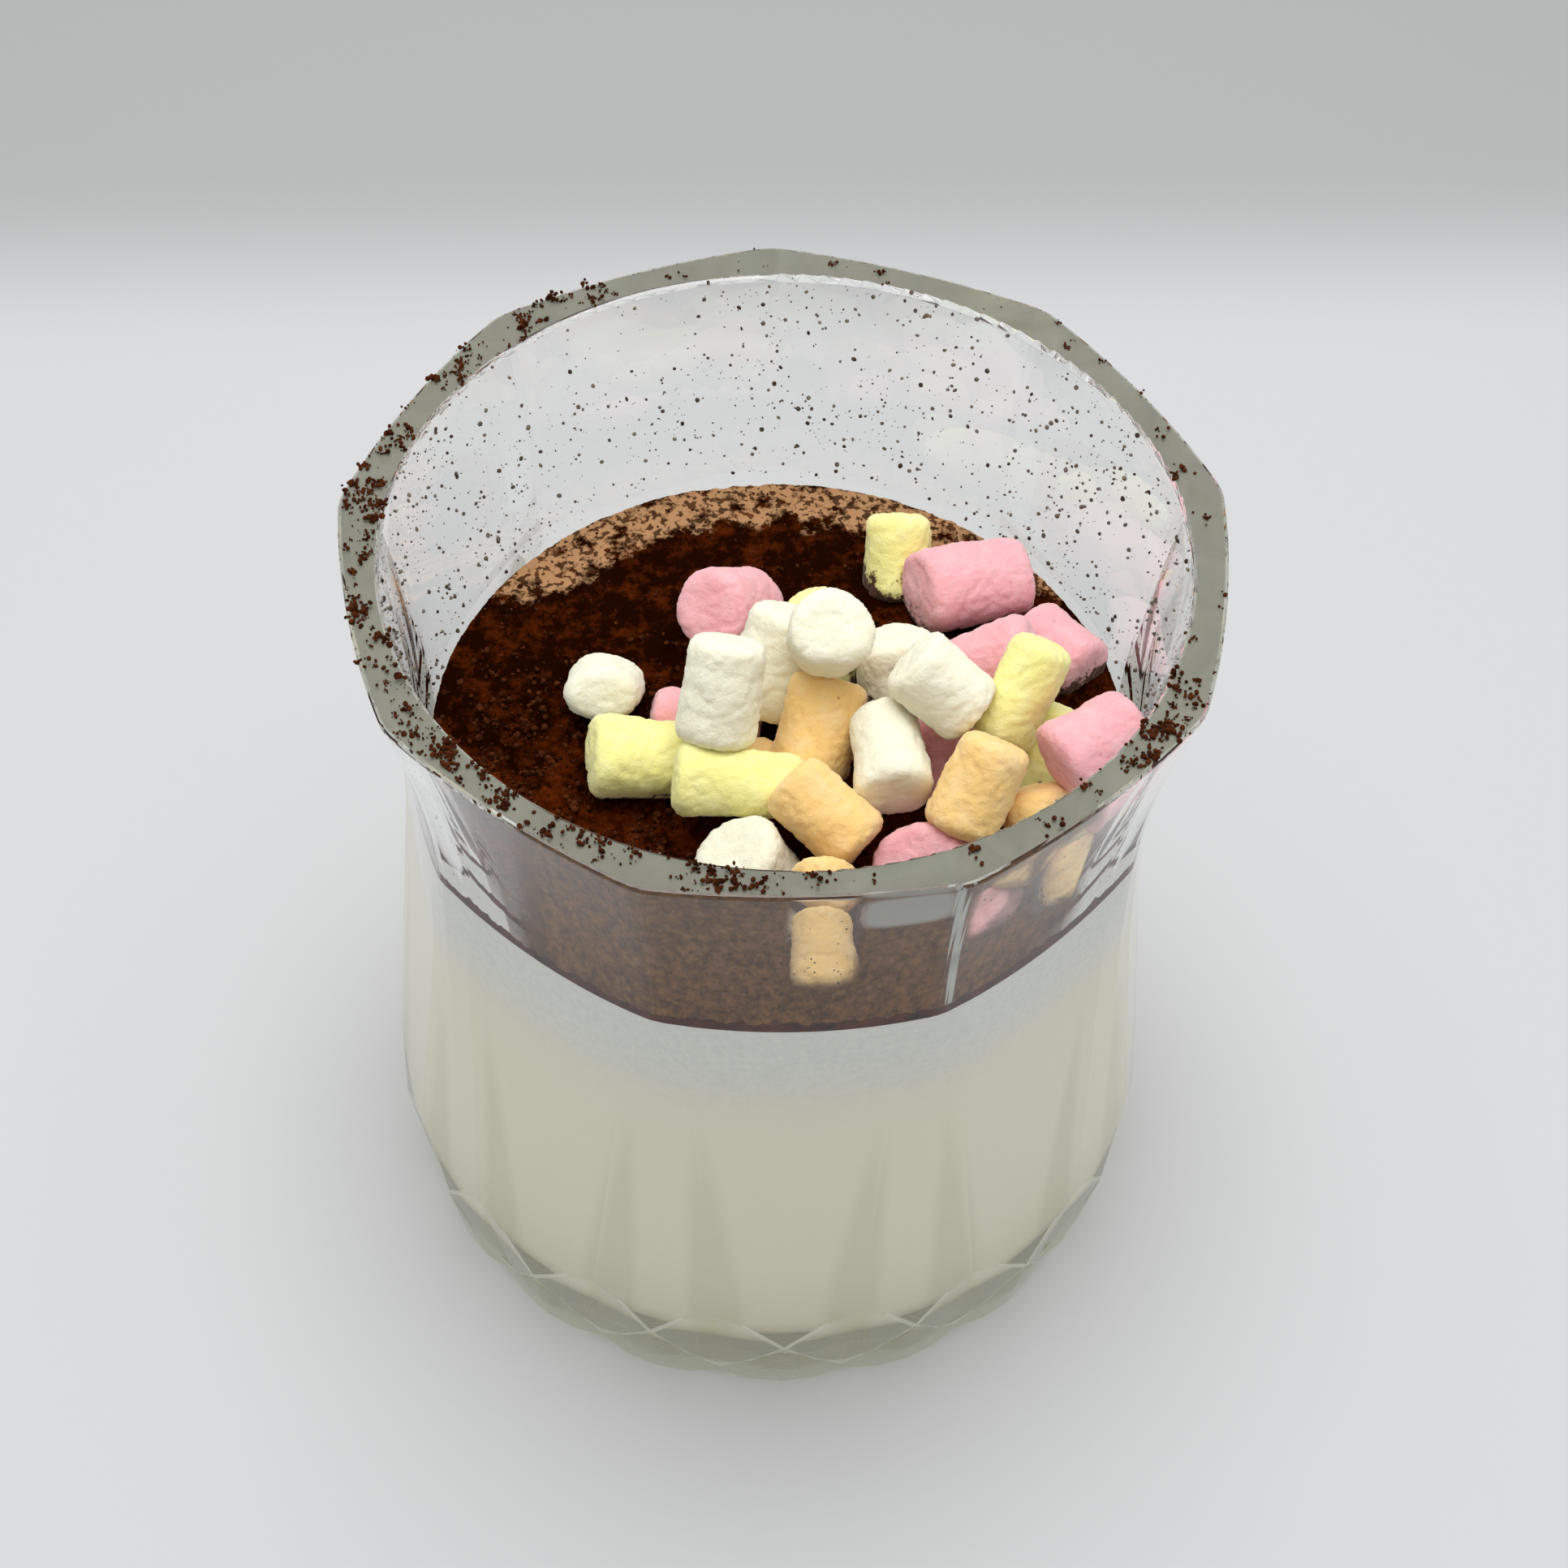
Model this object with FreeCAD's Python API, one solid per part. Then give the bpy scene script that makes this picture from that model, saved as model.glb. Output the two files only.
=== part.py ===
import FreeCAD, Part
import math
import os

# A child's warm milk drink in a nine-sided cut glass tumbler: milk below, a band of foam above it,
# cocoa powder over the foam and a heap of small marshmallows on top. Millimetres, +Z up, with the
# origin on the axis of the glass, in the plane that it stands on.
from FreeCAD import Vector

# ---- Glass, outside ----
sides = 9
side_facing = -90.0          # plan angle of the first flat side, degrees
glass_height = 87.0
body_radius = 37.0           # axis to the middle of a side, at the waist
waist_height = 48.0
waist_corner = 1.4           # how much further out the corners lie there
side_span = 14.5             # half width of a side's flat facet at the waist, degrees
facet_fade = 16.0            # the waist's facets turn into bowed sides over this height
rim_swell = 4.7              # how much wider than the waist the rim is
rim_corner = 1.3             # how much further out the corners of the rim lie
rim_softness = 0.08          # share of a half side that is spent on turning its corner
rim_edge = 0.5               # roundness of the rim's outer edge
flare_length = 27.0          # the wall leans outwards over this length below the rim
flare_power = 1.8
upper_steps = 10             # rows of facets between waist and rim

# ---- Glass, cut band near the base ----
crossing_height = 9.6        # where the cuts cross
crossing_swell = 3.55        # how much wider than the waist the crossings lie
tip_height = 17.0            # where the edges of sides and corners would meet above a lens
flute_share = 0.45           # how far a flute's foot reaches from there to the crossings
flute_arch = 0.55            # how far its foot bows back up
lens_foot = 1.2              # height of a lens's lower end
lens_sag = 0.9               # how far its lower edges bow down
base_inset = 1.85            # how far inside the crossings the base lies
base_scallop = 1.0           # how far the lenses bite into the base

# ---- Glass, inside ----
floor_thickness = 5.5
floor_corner = 4.0           # roundness between floor and wall
body_wall = 2.8              # at the middle of a side, at the waist
rim_wall = 3.5               # at the middle of a side, at the rim
bore_draft = 0.6             # how much narrower the bore is at the floor than at the waist
bore_edge = 0.6              # roundness of the rim's inner edge

# ---- Contents ----
rim_to_drink = 26.2          # from the rim down to the middle of the cocoa's surface
cocoa_thickness = 1.2
cocoa_relief = 0.35          # how far the powder rises and falls
foam_thickness = 11.0

# ---- Marshmallows ----
marshmallow_scale = 1.0      # size of them all, for a larger or a smaller kind
marshmallow_edge = 1.2       # roundness of their ends
unevenness = 0.03            # how far an outline wanders, as a share of its radius
heap_radius = 34.6           # bore at the drink level that the places below are meant for

# Each one: colour, place in plan, centre above the drink, rise and heading of its axis (degrees),
# length, width across, width upwards, and how much thinner it is where the axis points.
# They are laid from the top of the heap down, and each is pressed flat where it meets an upper one.
heap = (
    ("white", 4.5, -0.5, 15.0, 60, 270, 6.4, 8.0, 7.8, 0.00),
    ("white", 15.0, -6.0, 13.5, 35, 155, 8.4, 7.3, 7.2, 0.00),
    ("white", -6.0, -5.0, 12.0, 55, 75, 10.2, 7.9, 7.6, 0.04),
    ("pink", 29.5, -11.0, 11.0, -10, 210, 9.2, 7.4, 6.6, -0.14),
    ("yellow", 23.0, -4.5, 10.5, 45, 50, 10.8, 5.8, 8.0, 0.00),
    ("orange", 18.0, -15.5, 9.5, 45, 55, 9.6, 7.2, 7.2, 0.06),
    ("white", 10.0, -10.0, 8.0, -5, 275, 9.8, 7.2, 7.2, -0.10),
    ("white", 0.0, 3.5, 6.6, 55, 60, 10.6, 8.5, 8.3, 0.04),
    ("yellow", -4.5, -11.5, 6.0, 5, 175, 12.4, 6.9, 5.8, -0.12),
    ("orange", 3.5, -3.8, 4.8, 40, 70, 10.2, 8.0, 8.0, 0.02),
    ("orange", 3.5, -16.0, 6.5, -20, 320, 9.8, 6.8, 6.6, 0.00),
    ("pink", 21.0, 3.5, 5.4, 30, 0, 10.0, 8.0, 7.8, 0.00),
    ("orange", 3.0, -28.5, 5.6, -15, 270, 11.6, 6.6, 6.6, -0.04),
    ("white", -3.5, -19.0, 1.7, 65, 195, 8.6, 8.4, 8.2, 0.00),
    ("pink", 20.0, 16.5, 3.6, 10, 200, 11.6, 8.8, 8.5, -0.04),
    ("yellow", -14.0, -6.0, 3.4, 10, 185, 9.7, 7.8, 7.4, -0.05),
    ("pink", -4.5, 14.0, 3.2, 40, 235, 10.5, 8.1, 7.9, 0.00),
    ("yellow", 4.5, 9.0, 2.7, 75, 110, 10.4, 7.6, 7.6, 0.03),
    ("white", 12.0, 5.0, 1.8, 65, 100, 10.2, 7.9, 7.8, 0.05),
    ("orange", 24.5, -16.5, 3.0, -45, 285, 9.6, 6.8, 6.8, 0.02),
    ("yellow", 25.5, -5.0, 2.4, 45, 45, 9.5, 7.6, 7.6, 0.00),
    ("pink", 15.5, -5.5, 2.2, 45, 45, 9.0, 7.6, 7.4, 0.00),
    ("white", -17.5, 3.5, 3.0, 35, 265, 6.8, 7.3, 6.0, 0.05),
    ("yellow", 13.0, 22.0, 2.0, 50, 90, 8.8, 6.8, 6.7, 0.04),
    ("pink", 28.5, 9.0, 1.6, 0, 310, 8.4, 7.2, 7.0, -0.05),
    ("pink", 13.5, -19.5, 1.9, 50, 235, 8.0, 9.4, 9.2, 0.00),
    ("orange", -5.2, -6.2, 1.0, 10, 185, 9.5, 7.4, 7.2, 0.00),
    ("pink", -7.5, 0.5, 0.6, 15, 175, 10.8, 6.8, 5.8, 0.16),
)

half_turn = 180.0 / sides
waist_corner_radius = body_radius + waist_corner
rim_radius = body_radius + rim_swell
crossing_radius = body_radius + crossing_swell
base_radius = crossing_radius - base_inset
bore_rim_radius = rim_radius - rim_wall
bore_waist_radius = body_radius - body_wall
bore_floor_radius = bore_waist_radius - bore_draft
drink_level = glass_height - rim_to_drink
foam_top = drink_level - cocoa_thickness
foam_bottom = foam_top - foam_thickness


def polar(radius, angle, height):
    """The point at a radius and a plan angle (degrees) round the axis."""
    turn = math.radians(angle)
    return Vector(radius * math.cos(turn), radius * math.sin(turn), height)


def facet_plane(angle, low_radius, low_height, high_radius, high_height):
    """Normal and distance of a facet that faces a plan angle, from two places on its middle line."""
    normal = polar(high_height - low_height, angle, low_radius - high_radius)
    normal.normalize()
    return normal, normal.dot(polar(low_radius, angle, low_height))


def planes_meet(first, second, third):
    """The point that three planes share."""
    (a, a_far), (b, b_far), (c, c_far) = first, second, third
    meeting = b.cross(c) * a_far + c.cross(a) * b_far + a.cross(b) * c_far
    return meeting * (1.0 / a.dot(b.cross(c)))


def waist_outline(offset):
    """Radius of the waist at an angle off the middle of a side: a flat side, then a straight flute."""
    if offset <= side_span:
        return body_radius / math.cos(math.radians(offset))
    side_end = body_radius / math.cos(math.radians(side_span))
    width = math.sin(math.radians(half_turn - side_span))
    from_side = side_end * math.sin(math.radians(offset - side_span))
    from_corner = waist_corner_radius * math.sin(math.radians(half_turn - offset))
    return side_end * waist_corner_radius * width / (from_side + from_corner)


def rim_outline(offset):
    """Radius of the rim at an angle off the middle of a side: bowed sides and soft corners."""
    share = offset / half_turn
    bend = 1.0 - rim_softness
    bow = share ** 2
    if share > bend:
        bow = bend ** 2 + 2 * bend * (share - bend) - bend * (share - bend) ** 2 / rim_softness
    return rim_radius + rim_corner * bow / bend


def upper_row(height, inset):
    """One closed row of points round the upper glass, side by side, starting after a corner."""
    rise = min((height - waist_height) / facet_fade, 1.0)
    flare = max(0.0, 1 - (glass_height - height) / flare_length) ** flare_power
    blend = rise ** 2 * (3 - 2 * rise)
    offsets = [side_span * quarter / 4 for quarter in range(5)]
    offsets += [side_span + (half_turn - side_span) * share for share in (0.4, 0.75, 1.0)]
    offsets = [-offset for offset in offsets[-2:0:-1]] + offsets
    points = []
    for side in range(sides):
        for offset in offsets:
            below = waist_outline(abs(offset)) + rim_swell * flare
            above = rim_outline(abs(offset)) - rim_swell * (1 - flare)
            radius = below + (above - below) * blend - inset
            points.append(polar(radius, side_facing + 2 * half_turn * side + offset, height))
    return points


def upper_rows():
    """The rows from the waist to the rim, the last three rounding the rim's outer edge."""
    edge_height = glass_height - rim_edge
    step = (edge_height - waist_height) / upper_steps
    rows = [upper_row(waist_height + step * number, 0.0) for number in range(upper_steps + 1)]
    for bend in (30.0, 60.0, 90.0):
        turn = math.radians(bend)
        rows.append(upper_row(edge_height + rim_edge * math.sin(turn), rim_edge * (1 - math.cos(turn))))
    return rows


def flat_face(points):
    return Part.Face(Part.makePolygon(list(points) + [points[0]]))


def base_point(angle, offset):
    """A corner of the base at an angle off the crossing above it: full there, bitten at the lenses."""
    bite = base_scallop * (2 * offset / half_turn) ** 2
    return polar(base_radius - bite, angle + offset, 0.0)


def lens_outline(angle, way):
    """Corners of the lens beside the side at this angle, towards one way (-1 or 1)."""
    lens_angle = angle + way * half_turn / 2
    corner_angle = angle + way * half_turn
    side = facet_plane(angle, crossing_radius, crossing_height, body_radius, waist_height)
    corner = facet_plane(corner_angle, crossing_radius, crossing_height, waist_corner_radius, waist_height)
    tip = planes_meet(side, corner, (Vector(0, 0, 1), tip_height))
    near_crossing = polar(crossing_radius, angle, crossing_height)
    far_crossing = polar(crossing_radius, corner_angle, crossing_height)
    near = tip + (near_crossing - tip) * flute_share
    far = tip + (far_crossing - tip) * flute_share
    foot = polar(base_radius - base_scallop + 0.1 * lens_foot, lens_angle, lens_foot)
    sag = Vector(0, 0, lens_sag)
    return {"near_crossing": near_crossing, "near": near, "far": far, "far_crossing": far_crossing,
            "arch": (near + far) * 0.5 * (1 - flute_arch) + tip * flute_arch,
            "near_low": (near_crossing + foot) * 0.5 - sag, "foot": foot,
            "far_low": (far_crossing + foot) * 0.5 - sag}


def lens_faces(lens):
    """The hollow of a lens, as upright strips between its upper and lower edges."""
    return [flat_face([lens["near_crossing"], lens["near"], lens["near_low"]]),
            flat_face([lens["near"], lens["arch"], lens["near_low"]]),
            flat_face([lens["near_low"], lens["arch"], lens["foot"]]),
            flat_face([lens["foot"], lens["arch"], lens["far_low"]]),
            flat_face([lens["arch"], lens["far"], lens["far_low"]]),
            flat_face([lens["far"], lens["far_crossing"], lens["far_low"]])]


def foot_faces(angle, crossing, left, right):
    """The foot under a crossing, a fan between the low edges and ends of the lenses beside it."""
    rim = [base_point(angle, half_turn * share) for share in (-0.5, -0.25, 0.0, 0.25, 0.5)]
    outline = list(left) + rim + list(right)[::-1]
    return [flat_face([crossing, first, second]) for first, second in zip(outline, outline[1:])]


def lower_facets(waist):
    """Facets below the waist: sides, flutes, corners, lenses, the feet below them and the base."""
    per_side = len(waist) // sides
    reach = per_side // 2 - 1                         # places from the middle of a side to its corner
    angles = [side_facing + 2 * half_turn * side for side in range(sides)]
    lenses = [(lens_outline(angle, -1), lens_outline(angle, 1)) for angle in angles]
    faces, base = [], []
    for side, angle in enumerate(angles):
        before, after = lenses[side]
        following = lenses[(side + 1) % sides][0]
        middle = side * per_side + reach
        row = [waist[(middle + step) % len(waist)] for step in range(-reach - 1, reach + 2)]
        faces.append(flat_face(row[3:-3] + [after["near"], after["near_crossing"], before["near"]]))
        faces.append(flat_face([row[-1], after["far"], after["far_crossing"], following["far"]]))
        for lens, top in ((before, row[3::-1]), (after, row[-4:])):
            faces.append(flat_face(top + [lens["far"]]))
            faces.append(flat_face([top[0], lens["far"], lens["arch"]]))
            faces.append(flat_face([top[0], lens["arch"], lens["near"]]))
            faces += lens_faces(lens)
        faces += foot_faces(angle, after["near_crossing"], (before["near_low"], before["foot"]),
                            (after["near_low"], after["foot"]))
        faces += foot_faces(angle + half_turn, after["far_crossing"], (after["far_low"], after["foot"]),
                            (following["far_low"], following["foot"]))
        base += [base_point(angle + turn, half_turn * share)
                 for turn in (0.0, half_turn) for share in (-0.5, -0.25, 0.0, 0.25)]
    faces.append(flat_face(base))
    return faces


def glass_outside():
    """The glass as a full block: rows of facets above the waist and cut facets below it."""
    rows = upper_rows()
    faces = lower_facets(rows[0])
    for low, high in zip(rows, rows[1:]):
        for place in range(len(low)):
            after = (place + 1) % len(low)
            faces.append(flat_face([low[place], low[after], high[after]]))
            faces.append(flat_face([low[place], high[after], high[place]]))
    faces.append(flat_face(rows[-1]))
    shell = Part.Shell(faces)
    shell.sewShape()
    block = Part.Solid(shell.Shells[0])
    if block.Volume < 0:
        block.reverse()
    return block


def bore_outline():
    """Three points of the inside wall's curve, from the waist up to the rim's inner edge."""
    flare_start = Vector(bore_waist_radius, 0, waist_height)
    rim_start = Vector(bore_rim_radius, 0, glass_height - bore_edge)
    middle = Vector(bore_waist_radius + (bore_rim_radius - bore_waist_radius) * 0.25, 0,
                    (waist_height + glass_height - bore_edge) / 2)
    return flare_start, middle, rim_start


def bore():
    """The space inside the glass, up to the rim, as a solid of revolution."""
    flare_start, middle, rim_start = bore_outline()
    floor_centre = Vector(0, 0, floor_thickness)
    floor_edge = Vector(bore_floor_radius - floor_corner, 0, floor_thickness)
    lean = floor_corner * math.sin(math.radians(45))
    corner_middle = Vector(floor_edge.x + lean, 0, floor_thickness + floor_corner - lean)
    wall_foot = Vector(bore_floor_radius, 0, floor_thickness + floor_corner)
    edge_middle = Vector(bore_rim_radius + bore_edge * (1 - math.cos(math.radians(45))), 0,
                         glass_height - bore_edge * (1 - math.sin(math.radians(45))))
    edge_top = Vector(bore_rim_radius + bore_edge, 0, glass_height)
    top_centre = Vector(0, 0, glass_height)
    outline = Part.Wire([
        Part.makeLine(floor_centre, floor_edge),
        Part.Arc(floor_edge, corner_middle, wall_foot).toShape(),
        Part.makeLine(wall_foot, flare_start),
        Part.Arc(flare_start, middle, rim_start).toShape(),
        Part.Arc(rim_start, edge_middle, edge_top).toShape(),
        Part.makeLine(edge_top, top_centre),
        Part.makeLine(top_centre, floor_centre),
    ])
    return Part.Face(outline).revolve(Vector(), Vector(0, 0, 1), 360)


def between(space, low, high):
    """The part of a space between two heights."""
    slab = Part.makeCylinder(2 * rim_radius, high - low, Vector(0, 0, low))
    return space.common(slab)


def cocoa_height(x, y):
    """Height of the powder's surface: a few broad mounds and hollows."""
    wave = math.sin(x / 7.0 + 0.6) * math.cos(y / 8.5 - 0.4) + 0.6 * math.sin((x + y) / 5.2)
    return drink_level + cocoa_relief * wave


def cocoa_layer(space):
    """Powder over the foam, as deep as its uneven surface."""
    steps, reach = 14, 1.1 * rim_radius
    places = [reach * (2.0 * step / steps - 1) for step in range(steps + 1)]
    surface = Part.BSplineSurface()
    surface.interpolate([[Vector(x, y, cocoa_height(x, y)) for y in places] for x in places])
    powder = surface.toShape().extrude(Vector(0, 0, -2 * cocoa_thickness))
    return between(space, foam_top, drink_level + 3 * cocoa_relief).common(powder)


def marshmallow_section(number, along, edge, length, across, upwards, thinner):
    """Closed outline of a marshmallow at a place along its axis, a little out of round."""
    reach = length / 2
    short = max(0.0, abs(along) - (reach - edge))
    tuck = edge - math.sqrt(max(edge ** 2 - short ** 2, 0.0))
    taper = 1.0 - thinner * along / reach
    points = []
    for step in range(12):
        turn = 2 * math.pi * step / 12
        wander = math.sin(2 * turn + 1.7 * number) + 0.6 * math.sin(3 * turn + 2.3 * number + along / 3)
        swell = taper * (1 + unevenness * wander)
        points.append(Vector((across / 2 - tuck) * swell * math.cos(turn),
                             (upwards / 2 - tuck) * swell * math.sin(turn), along))
    outline = Part.BSplineCurve()
    outline.interpolate(points, PeriodicFlag=True)
    return Part.Wire(outline.toShape())


def marshmallow(number, length, across, upwards, thinner):
    """A short soft cylinder along Z with rounded ends, centred on the origin."""
    edge = min(marshmallow_edge, 0.4 * min(length, across, upwards))
    reach = length / 2
    straight = reach - edge
    places = [reach, reach - 0.12 * edge, reach - 0.45 * edge, straight, 0.75 * straight, 0.4 * straight]
    places = [-place for place in places] + [0.0] + places[::-1]
    wires = [marshmallow_section(number, place, edge, length, across, upwards, thinner) for place in places]
    return Part.makeLoft(wires, True, False)


def laid(shape, x, y, height, rise, heading):
    """The shape with its own Z turned to a rise and heading, and its middle at a place."""
    axis = polar(math.cos(math.radians(rise)), heading, math.sin(math.radians(rise)))
    across = polar(1.0, heading + 90, 0.0)
    upwards = axis.cross(across)
    turn = FreeCAD.Matrix(across.x, upwards.x, axis.x, x,
                          across.y, upwards.y, axis.y, y,
                          across.z, upwards.z, axis.z, height,
                          0, 0, 0, 1)
    placed = shape.copy()
    placed.Placement = FreeCAD.Placement(turn)
    return placed


def largest(shape):
    return max(shape.Solids, key=lambda solid: solid.Volume)


def cut_clear(shape, others):
    """The shape without what it shares with the others that it may touch, cut by one after another."""
    for other in others:
        if other.BoundBox.intersect(shape.BoundBox):
            shape = largest(shape.cut(other))
    return shape


def drink_radius():
    """Bore at the drink level, read off the inside wall's curve."""
    flare_start, middle, rim_start = bore_outline()
    wall = Part.Arc(flare_start, middle, rim_start).toShape()
    level = Part.makeLine(Vector(0, 0, drink_level), Vector(2 * rim_radius, 0, drink_level))
    return wall.distToShape(level)[1][0][0].x


def build():
    space = bore()
    glass = glass_outside().cut(space)
    spread = drink_radius() / heap_radius
    marshmallows, names = [], []
    for number, (colour, x, y, lift, rise, heading, *size, thinner) in enumerate(heap, 1):
        length, across, upwards = (value * marshmallow_scale for value in size)
        plain = marshmallow(number, length, across, upwards, thinner)
        placed = laid(plain, x * spread, y * spread, drink_level + lift, rise, heading)
        marshmallows.append(cut_clear(placed, marshmallows + [glass]))
        names.append(f"marshmallow_{number:02d}_{colour}")
    foam = between(space, foam_bottom, foam_top)
    nodes = {
        "glass": glass,
        "milk": between(space, floor_thickness, foam_bottom),
        "foam": cut_clear(foam, marshmallows),
        "cocoa": cut_clear(cocoa_layer(space), marshmallows),
    }
    nodes.update(zip(names, marshmallows))
    return nodes


os.makedirs("parts", exist_ok=True)
for name, solid in build().items():
    solid.exportStep(f"parts/{name}.step")
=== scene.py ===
import math
import random

import bmesh
import bpy
from mathutils import Matrix, Vector, noise
from mathutils.bvhtree import BVHTree


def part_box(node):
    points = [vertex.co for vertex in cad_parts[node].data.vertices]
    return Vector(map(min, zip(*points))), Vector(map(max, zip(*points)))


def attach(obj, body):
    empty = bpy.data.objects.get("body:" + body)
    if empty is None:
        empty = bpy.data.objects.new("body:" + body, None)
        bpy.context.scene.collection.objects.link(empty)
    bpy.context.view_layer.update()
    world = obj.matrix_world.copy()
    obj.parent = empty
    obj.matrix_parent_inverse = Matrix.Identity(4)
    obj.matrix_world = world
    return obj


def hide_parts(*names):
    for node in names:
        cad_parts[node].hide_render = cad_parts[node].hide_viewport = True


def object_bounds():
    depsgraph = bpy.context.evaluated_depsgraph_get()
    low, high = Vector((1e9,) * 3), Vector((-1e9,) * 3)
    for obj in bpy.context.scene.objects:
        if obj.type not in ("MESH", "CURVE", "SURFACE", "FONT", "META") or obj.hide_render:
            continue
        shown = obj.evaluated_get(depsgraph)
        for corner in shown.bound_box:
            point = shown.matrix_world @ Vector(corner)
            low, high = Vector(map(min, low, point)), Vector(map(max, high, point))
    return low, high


# A child's warm milk drink in a cut glass tumbler, dusted with cocoa and heaped with marshmallows.
# Metres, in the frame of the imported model: +Z up, the axis of the glass through the origin.
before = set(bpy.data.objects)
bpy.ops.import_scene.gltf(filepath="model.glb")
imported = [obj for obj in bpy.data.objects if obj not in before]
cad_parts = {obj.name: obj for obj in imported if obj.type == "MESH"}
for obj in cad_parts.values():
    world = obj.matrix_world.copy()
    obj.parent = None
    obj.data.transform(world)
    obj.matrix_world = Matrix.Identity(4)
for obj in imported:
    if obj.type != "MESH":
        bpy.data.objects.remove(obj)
cad_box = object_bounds()


# ---- The tumbler ----
# A nine-sided drinking glass of clear soda glass with a faint green tint. It is pressed in a mould,
# so every side, flute and crossing arc meets its neighbour along a soft, fire-polished edge.
sharp_angle = math.radians(50)
weld_distance = 2e-6


def node_copy(name):
    """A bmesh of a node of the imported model, its loose triangles joined."""
    bm = bmesh.new()
    bm.from_mesh(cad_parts[name].data)
    bmesh.ops.remove_doubles(bm, verts=bm.verts, dist=weld_distance)
    return bm


def finished(bm, name, material):
    """An object of the bmesh, smooth but for its sharp edges, with one material."""
    for edge in bm.edges:
        edge.smooth = len(edge.link_faces) != 2 or edge.calc_face_angle() < sharp_angle
    mesh = bpy.data.meshes.new(name)
    bm.to_mesh(mesh)
    bm.free()
    mesh.materials.append(material)
    mesh.shade_smooth()
    piece = bpy.data.objects.new(name, mesh)
    bpy.context.scene.collection.objects.link(piece)
    return piece


def add_node(material, kind, settings=None, **sockets):
    """A shader node with properties from settings and values or links for its sockets, by name."""
    node = material.node_tree.nodes.new(kind)
    for key, value in (settings or {}).items():
        setattr(node, key, value)
    for key, value in sockets.items():
        socket = node.inputs[int(key[1:])] if key[1:].isdigit() else node.inputs[key.replace("_", " ")]
        if isinstance(value, bpy.types.NodeSocket):
            material.node_tree.links.new(value, socket)
        else:
            socket.default_value = value
    return node


def new_material(name):
    """A node material with nothing in it but its output."""
    material = bpy.data.materials.new(name)
    material.use_nodes = True
    material.node_tree.nodes.clear()
    return material, material.node_tree.nodes.new("ShaderNodeOutputMaterial")


glass_tint = (0.985, 0.993, 0.980, 1)
# The foot's glass is painted a deeper olive, a painted shade for the milk's shaded underside seen in it; it
# also lets less lamp light through, for a darker shadow round the base.
foot_painted_shade_tint, foot_lamp_tint = (0.990, 0.990, 0.82, 1), (0.80, 0.81, 0.74, 1)
# Dark and light grey-green for the rim's top: painted reflection of the wall seen down through the thick rim.
rim_painted_dark, rim_painted_light = (0.13, 0.135, 0.10, 1), (0.27, 0.27, 0.215, 1)
rim_part, bore_part, foot_part, arris_part = 1, 2, 3, 4   # material slots, after the clear glass
flat_enough = math.radians(0.2)
soft_edge, arris_width = 0.00022, 0.00034
sharpest_kept, shallowest_cut = math.radians(6), math.radians(3)


def clear_material(name, tint, lamp_tint):
    """Smooth glass that lets lamp light and soft light straight through to what is in it."""
    material, output = new_material(name)
    body = add_node(material, "ShaderNodeBsdfPrincipled", Base_Color=tint, Roughness=0.0, IOR=1.51,
                    Transmission_Weight=1.0)
    lamp_light = add_node(material, "ShaderNodeBsdfTransparent", Color=lamp_tint)
    path = add_node(material, "ShaderNodeLightPath")
    for_lamps = add_node(material, "ShaderNodeMixShader", _0=path.outputs["Is Shadow Ray"],
                         _1=body.outputs[0], _2=lamp_light.outputs[0])
    for_soft_light = add_node(material, "ShaderNodeMixShader", _0=path.outputs["Is Diffuse Ray"],
                              _1=for_lamps.outputs[0], _2=lamp_light.outputs[0])
    material.node_tree.links.new(for_soft_light.outputs[0], output.inputs["Surface"])
    return material


clear_glass = clear_material("clear_soda_glass", glass_tint, glass_tint)
foot_glass = clear_material("foot_glass_painted_shade", foot_painted_shade_tint, foot_lamp_tint)

# The soft edges of the crossing arcs are painted pale cream and half opaque: a painted highlight along each
# arc.
arris_glass, output = new_material("arris_painted_highlight")
arris_shader = add_node(arris_glass, "ShaderNodeBsdfPrincipled", Base_Color=(0.88, 0.88, 0.77, 1),
                        Roughness=0.45, IOR=1.51, Transmission_Weight=0.55)
arris_glass.node_tree.links.new(arris_shader.outputs[0], output.inputs["Surface"])

# The rim's top is painted in streaks of grey-green, a painted reflection of the glass below it, under a dull
# finish.
rim_glass, output = new_material("dull_rim_glass")
place = add_node(rim_glass, "ShaderNodeTexCoord")
streak = add_node(rim_glass, "ShaderNodeTexNoise", Vector=place.outputs["Object"], Scale=150.0, Detail=4.0,
                  Roughness=0.6, Distortion=1.2)
rim_tone = add_node(rim_glass, "ShaderNodeMix", {"data_type": "RGBA"}, _0=streak.outputs["Fac"],
                    _6=rim_painted_dark, _7=rim_painted_light)
rim_shader = add_node(rim_glass, "ShaderNodeBsdfPrincipled", Base_Color=rim_tone.outputs[2], Roughness=0.30,
                      IOR=1.51, Transmission_Weight=0.25)
rim_glass.node_tree.links.new(rim_shader.outputs[0], output.inputs["Surface"])

bm = node_copy("glass")
bmesh.ops.dissolve_limit(bm, angle_limit=flat_enough, verts=bm.verts, edges=bm.edges)
rim_level = cad_box[1].z
drink_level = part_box("cocoa")[1].z
foot_high = 0.0075
cuts_low, cuts_high, cuts_reach, steepest_arc = 0.0009, 0.0125, 0.0345, 2


def sharp_edges(among_cuts):
    """Edges to soften: the arcs that cross between the lens-shaped cuts, or all others."""
    for edge in bm.edges:
        middle = (edge.verts[0].co + edge.verts[1].co) / 2
        along = edge.verts[1].co - edge.verts[0].co
        cut = (cuts_low < middle.z < cuts_high and math.hypot(middle.x, middle.y) > cuts_reach
               and abs(along.z) < steepest_arc * math.hypot(along.x, along.y))
        flattest = shallowest_cut if cut else sharpest_kept
        if len(edge.link_faces) == 2 and edge.calc_face_angle() > flattest and cut == among_cuts:
            yield edge


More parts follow.
